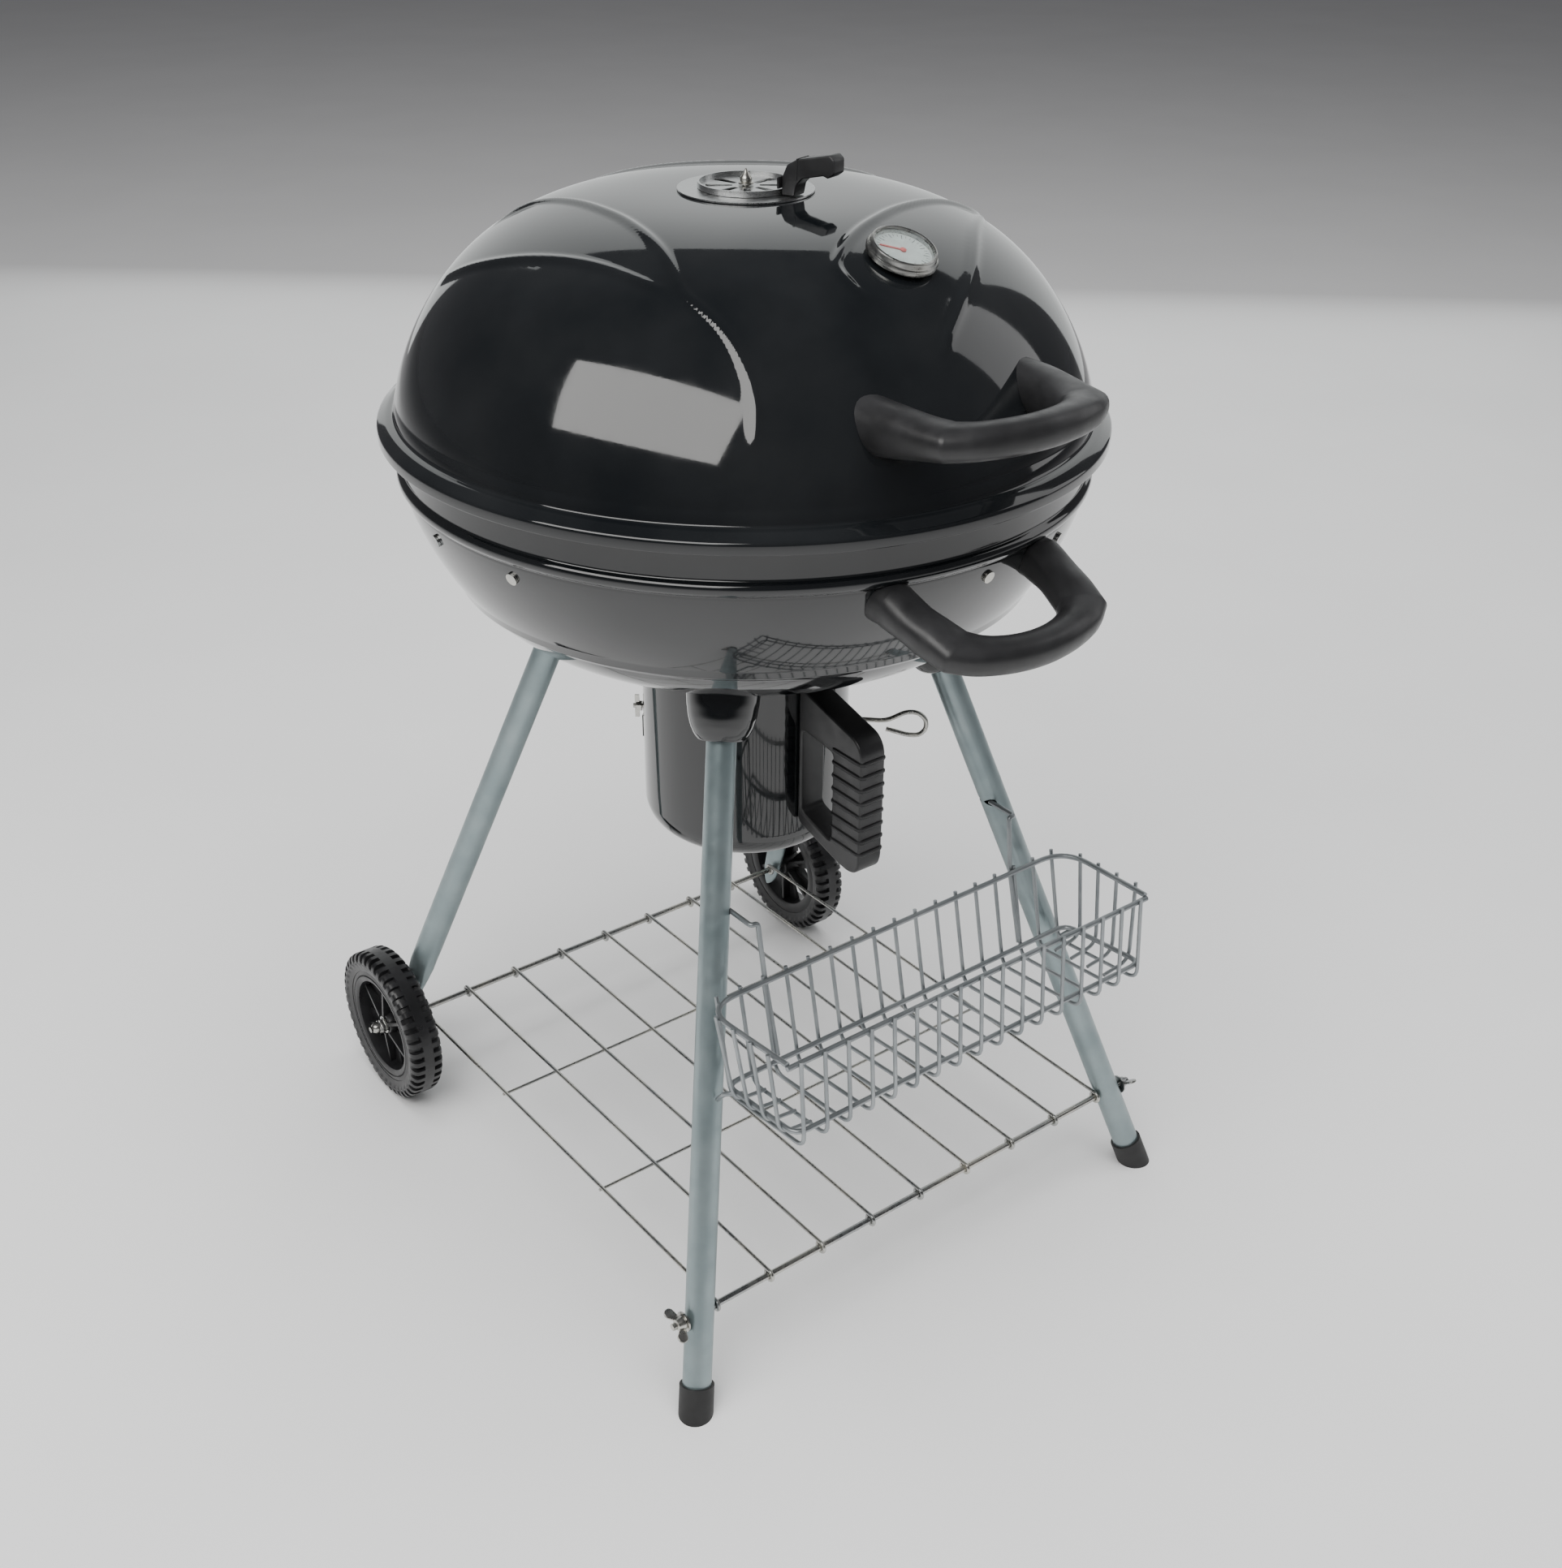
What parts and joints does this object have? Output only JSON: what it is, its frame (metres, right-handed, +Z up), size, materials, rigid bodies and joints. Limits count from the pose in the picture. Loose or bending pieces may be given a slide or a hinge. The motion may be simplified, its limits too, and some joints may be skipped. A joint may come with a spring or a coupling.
{
  "type": "kettle charcoal grill",
  "caption": "Round kettle charcoal grill with domed lid, vent, thermometer, ash pot, splayed tube legs, wheels, wire shelf and hang-on basket.",
  "frame": {"origin": "on the floor, under the middle of the bounding box", "axes": "+Z up, handles and basket towards -Y, wheels towards +Y, X from side to side"},
  "size_m": [0.5999, 0.7106, 0.9631],
  "materials": {
    "enamel": "glossy black porcelain enamel",
    "handle_plastic": "satin black moulded plastic",
    "leg_paint": "satin blue-grey coating",
    "basket_wire": "satin grey coating",
    "plated_steel": "dull nickel plating",
    "plain_steel": "plain, slightly brushed",
    "tyre_plastic": "matt black moulded plastic",
    "cap_rubber": "matt black",
    "dial_print": "pale grey dial with plain marks",
    "needle_paint": "red",
    "dial_glass": "clear"
  },
  "bodies": {
    "base": {"bowl_shell": "enamel", "bowl_handle": "handle_plastic", "bowl_handle_screws": "plated_steel", "ash_collar": "enamel", "grate_brackets": "plain_steel", "bracket_rivets": "plated_steel", "leg_sockets": "enamel", "front_left_leg": "leg_paint", "front_right_leg": "leg_paint", "rear_left_leg": "leg_paint", "rear_right_leg": "leg_paint", "socket_screws": "plated_steel", "foot_caps": "cap_rubber", "axle": "plated_steel", "hub_nuts": "plated_steel", "axle_washers": "plated_steel", "shelf": "plated_steel", "front_rod": "plated_steel", "wing_nuts": "plated_steel", "rod_washers": "plated_steel"},
    "lid": {"lid_shell": "enamel", "lid_handle": "handle_plastic", "lid_handle_screws": "plated_steel", "vent_plate": "plain_steel", "vent_pin": "plated_steel", "thermometer_case": "plated_steel", "thermometer_dial": "dial_print", "thermometer_glass": "dial_glass", "thermometer_nut": "plated_steel"},
    "vent": {"vent_disc": "plain_steel", "vent_tab": "handle_plastic"},
    "needle": {"thermometer_needle": "needle_paint"},
    "cooking_grate": {"cooking_grate": "plated_steel"},
    "charcoal_grate": {"charcoal_grate": "plain_steel"},
    "damper": {"damper_flap": "plain_steel", "damper_rod": "plated_steel", "damper_nut": "plated_steel"},
    "pot": {"ash_pot": "enamel", "pot_handle": "handle_plastic", "pot_handle_rivets": "plated_steel"},
    "left_wheel": {"left_tyre": "tyre_plastic", "left_hub": "tyre_plastic"},
    "right_wheel": {"right_tyre": "tyre_plastic", "right_hub": "tyre_plastic"},
    "basket": {"basket": "basket_wire"}
  },
  "joints": [
    {"name": "lid_lift", "type": "slide", "parent": "base", "child": "lid", "axis": [0, 0, 1], "range_m": [0, 0.25]},
    {"name": "vent_turn", "type": "hinge", "parent": "lid", "child": "vent", "pos_m": [0, 0.01628, 0.928], "axis": [0, 0, 1], "range_deg": [-11.25, 11.25]},
    {"name": "needle_turn", "type": "hinge", "parent": "lid", "child": "needle", "pos_m": [0.012, -0.15572, 0.90692], "axis": [0.0265, -0.3792, 0.9249], "range_deg": [-270, 0]},
    {"name": "cooking_grate_lift", "type": "slide", "parent": "base", "child": "cooking_grate", "axis": [0, 0, 1], "range_m": [0, 0.03]},
    {"name": "charcoal_grate_lift", "type": "slide", "parent": "base", "child": "charcoal_grate", "axis": [0, 0, 1], "range_m": [0, 0.07]},
    {"name": "damper_turn", "type": "hinge", "parent": "pot", "child": "damper", "pos_m": [0, 0.01628, 0.466], "axis": [0.7193, -0.6947, 0], "range_deg": [0, 90]},
    {"name": "pot_drop", "type": "slide", "parent": "base", "child": "pot", "axis": [0, 0, -1], "range_m": [0, 0.13]},
    {"name": "left_wheel_spin", "type": "hinge", "parent": "base", "child": "left_wheel", "pos_m": [-0.259, 0.27628, 0.079], "axis": [1, 0, 0], "continuous": true},
    {"name": "right_wheel_spin", "type": "hinge", "parent": "base", "child": "right_wheel", "pos_m": [0.259, 0.27628, 0.079], "axis": [1, 0, 0], "continuous": true},
    {"name": "basket_off", "type": "slide", "parent": "base", "child": "basket", "axis": [0, -1, 0], "range_m": [0, 0.25]}
  ]
}
